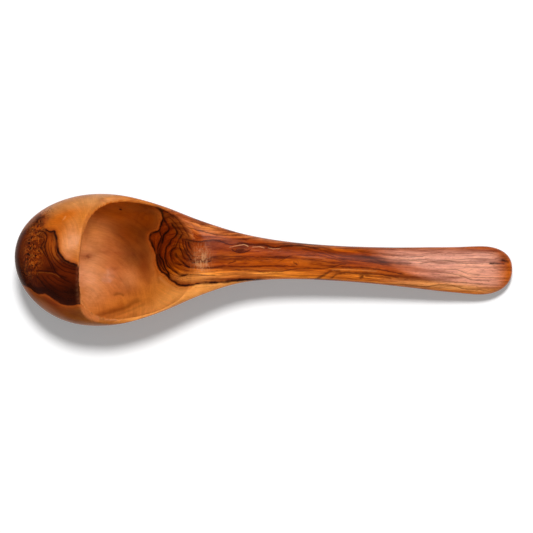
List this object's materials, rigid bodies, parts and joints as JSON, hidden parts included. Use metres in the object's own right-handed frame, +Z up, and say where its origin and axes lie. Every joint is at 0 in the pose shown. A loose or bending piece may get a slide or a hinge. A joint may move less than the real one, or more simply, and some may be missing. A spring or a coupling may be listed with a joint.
{
  "type": "soup ladle",
  "caption": "Hand-carved wooden soup ladle in one piece: an egg-shaped bowl, partly hooded at the nose, that runs into a long flat handle with a rounded end.",
  "frame": {"origin": "centre of the small sanded flat under the bowl, on the surface that the ladle lies on", "axes": "+X from the bowl's nose to the handle's end, +Y across the ladle, +Z up, the way the bowl opens"},
  "size_m": [0.3, 0.0796, 0.0504],
  "materials": {
    "olive_wood": "oiled satin, with dark heartwood lines on golden brown"
  },
  "bodies": {
    "root": {"ladle": "olive_wood"}
  },
  "joints": []
}
